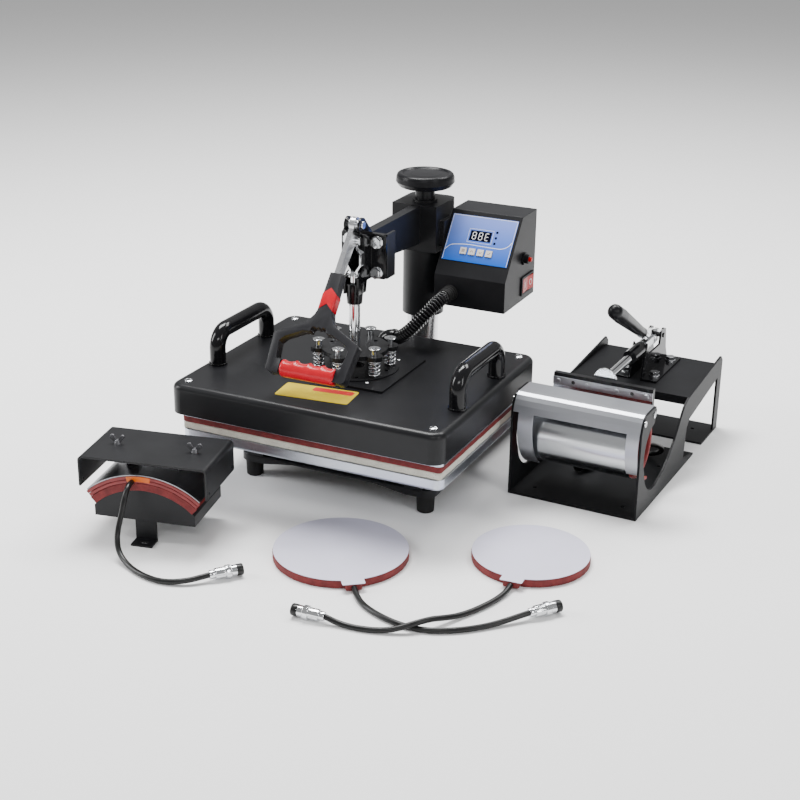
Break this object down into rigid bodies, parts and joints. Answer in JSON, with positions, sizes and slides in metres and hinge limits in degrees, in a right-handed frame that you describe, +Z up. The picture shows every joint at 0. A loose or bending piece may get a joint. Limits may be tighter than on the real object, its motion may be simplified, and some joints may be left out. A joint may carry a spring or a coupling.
{
  "type": "heat press",
  "caption": "Swing-away heat press with toggle lever, sprung heated platen and control box, laid out with its cap press, mug press and plate heaters on cords.",
  "frame": {"origin": "on the floor, under the middle of the set's footprint without its cords", "axes": "+X to the right of a person at the lever, +Y away from them along the swing arm, +Z up"},
  "size_m": [0.6506, 0.7941, 0.3815],
  "materials": {
    "black_powder": "satin fine-textured black powder coat",
    "gloss_black": "glossy black",
    "black_rubber": "soft black",
    "platen_aluminium": "satin machined",
    "cotton_felt": "cream speckled felt",
    "red_silicone": "matte mottled red silicone",
    "chrome": "bright chrome",
    "zinc_steel": "bright zinc-plated steel",
    "lever_plastic": "matte dark grey",
    "red_grip": "glossy red",
    "knob_plastic": "satin black",
    "panel_blue": "glossy blue overlay",
    "button_white": "matte off-white",
    "silver_sheet": "satin silver sheet",
    "hose_plastic": "glossy black ribbed",
    "cord_black": "black cord sheath"
  },
  "bodies": {
    "base": {"base_frame": "black_powder", "rubber_feet": "black_rubber", "platen_stand": "black_powder", "lower_platen": "platen_aluminium", "cotton_pad": "cotton_felt", "silicone_pad": "red_silicone", "column_post": "chrome", "cap_form": "black_powder", "cap_pad": "red_silicone", "cap_cord": "cord_black", "mug_frame": "black_powder", "mug_hood": "silver_sheet", "mug_heater": "red_silicone", "mug_jacket": "zinc_steel", "mug_toggle_frame": "gloss_black", "mug_cord": "cord_black", "large_plate_heater": "red_silicone", "small_plate_heater": "red_silicone", "large_plate_cord": "cord_black", "small_plate_cord": "cord_black", "cord_connectors": "chrome"},
    "swivel": {"thrust_washer": "zinc_steel"},
    "knob": {"pressure_knob": "knob_plastic"},
    "arm": {"swing_arm": "black_powder", "toggle_frame": "gloss_black", "toggle_bolts": "chrome", "hose_gland": "black_rubber", "wiring_hose": "hose_plastic", "control_box": "black_powder", "control_box_back": "black_powder", "control_panel": "panel_blue", "switch_bezels": "knob_plastic"},
    "lever": {"toggle_lever": "zinc_steel", "lever_handle": "lever_plastic", "handle_grip": "red_grip"},
    "platen": {"cover_shell": "black_powder", "heating_plate": "platen_aluminium", "grab_handles": "gloss_black", "spring_carrier": "black_powder", "spring_bolts": "chrome", "springs": "zinc_steel", "hose_elbow": "hose_plastic"},
    "plunger": {"plunger_rod": "chrome", "pressure_plate": "black_powder"},
    "link": {"toggle_link": "zinc_steel"},
    "rocker_switch": {"rocker": "red_grip"},
    "reset": {"reset_button": "red_grip"},
    "key_1": {"panel_button_1": "button_white"},
    "key_2": {"panel_button_2": "button_white"},
    "key_3": {"panel_button_3": "button_white"},
    "key_4": {"panel_button_4": "button_white"},
    "cap_upper": {"cap_bracket": "black_powder", "cap_hanger": "silver_sheet", "cap_heater": "red_silicone"},
    "mug_handle": {"mug_lever": "zinc_steel", "mug_grip": "gloss_black"},
    "mug_slide": {"mug_clamp_bar": "black_powder", "mug_plunger": "chrome"},
    "mug_links": {"mug_link": "zinc_steel"}
  },
  "joints": [
    {"name": "arm_swing", "type": "hinge", "parent": "base", "child": "swivel", "pos_m": [-0.0813, 0.1764, 0.3], "axis": [0, 0, -1], "range_deg": [0, 100]},
    {"name": "arm_lift", "type": "slide", "parent": "swivel", "child": "arm", "axis": [0, 0, 1], "range_m": [0, 0.006]},
    {"name": "knob_spin", "type": "hinge", "parent": "swivel", "child": "knob", "pos_m": [-0.0813, 0.1764, 0.36], "axis": [0, 0, 1], "range_deg": [0, 1080]},
    {"name": "lever_swing", "type": "hinge", "parent": "arm", "child": "lever", "pos_m": [-0.0813, -0.0436, 0.358], "axis": [-1, 0, 0], "range_deg": [0, 105]},
    {"name": "platen_slide", "type": "slide", "parent": "arm", "child": "platen", "axis": [0, 0, 1], "range_m": [0, 0.025], "deforming": ["wiring_hose"]},
    {"name": "spring_relax", "type": "slide", "parent": "platen", "child": "plunger", "axis": [0, 0, 1], "range_m": [0, 0.0076], "deforming": ["springs"]},
    {"name": "link_turn", "type": "hinge", "parent": "plunger", "child": "link", "pos_m": [-0.0813, -0.0436, 0.288], "axis": [1, 0, 0], "range_deg": [0, 26.3]},
    {"name": "rocker_turn", "type": "hinge", "parent": "arm", "child": "rocker_switch", "pos_m": [0.0617, 0.2129, 0.2285], "axis": [0, 0, 1], "range_deg": [0, 10]},
    {"name": "reset_press", "type": "slide", "parent": "arm", "child": "reset", "axis": [-1, 0, 0], "range_m": [0, 0.002], "stiffness_N_per_m": 400},
    {"name": "key_1_press", "type": "slide", "parent": "arm", "child": "key_1", "axis": [0, 0.8021, -0.5971], "range_m": [0, 0.0006], "stiffness_N_per_m": 400},
    {"name": "key_2_press", "type": "slide", "parent": "arm", "child": "key_2", "axis": [0, 0.8021, -0.5971], "range_m": [0, 0.0006], "stiffness_N_per_m": 400},
    {"name": "key_3_press", "type": "slide", "parent": "arm", "child": "key_3", "axis": [0, 0.8021, -0.5971], "range_m": [0, 0.0006], "stiffness_N_per_m": 400},
    {"name": "key_4_press", "type": "slide", "parent": "arm", "child": "key_4", "axis": [0, 0.8021, -0.5971], "range_m": [0, 0.0006], "stiffness_N_per_m": 400},
    {"name": "cap_lift", "type": "slide", "parent": "base", "child": "cap_upper", "axis": [0, 0, 1], "range_m": [0, 0.03]},
    {"name": "mug_lever_swing", "type": "hinge", "parent": "base", "child": "mug_handle", "pos_m": [0.23288, 0.31743, 0.146], "axis": [-0.9994, 0.0349, 0], "range_deg": [0, 90]},
    {"name": "mug_clamp", "type": "slide", "parent": "base", "child": "mug_slide", "axis": [0.0349, 0.9994, 0], "range_m": [0, 0.029]},
    {"name": "mug_link_turn", "type": "hinge", "parent": "mug_slide", "child": "mug_links", "pos_m": [0.23079, 0.25746, 0.146], "axis": [0.9994, -0.0349, 0], "range_deg": [0, 35.4]}
  ],
  "couplings": [
    {"joint": "knob_spin", "follows": "arm_lift", "rad_per_m": 3141.6},
    {"joint": "platen_slide", "follows": "lever_swing", "m_per_rad": 0.013636},
    {"joint": "spring_relax", "follows": "lever_swing", "m_per_rad": 0.004142},
    {"joint": "link_turn", "follows": "lever_swing", "ratio": 0.25},
    {"joint": "mug_clamp", "follows": "mug_lever_swing", "m_per_rad": 0.018456},
    {"joint": "mug_link_turn", "follows": "mug_lever_swing", "ratio": 0.393}
  ]
}
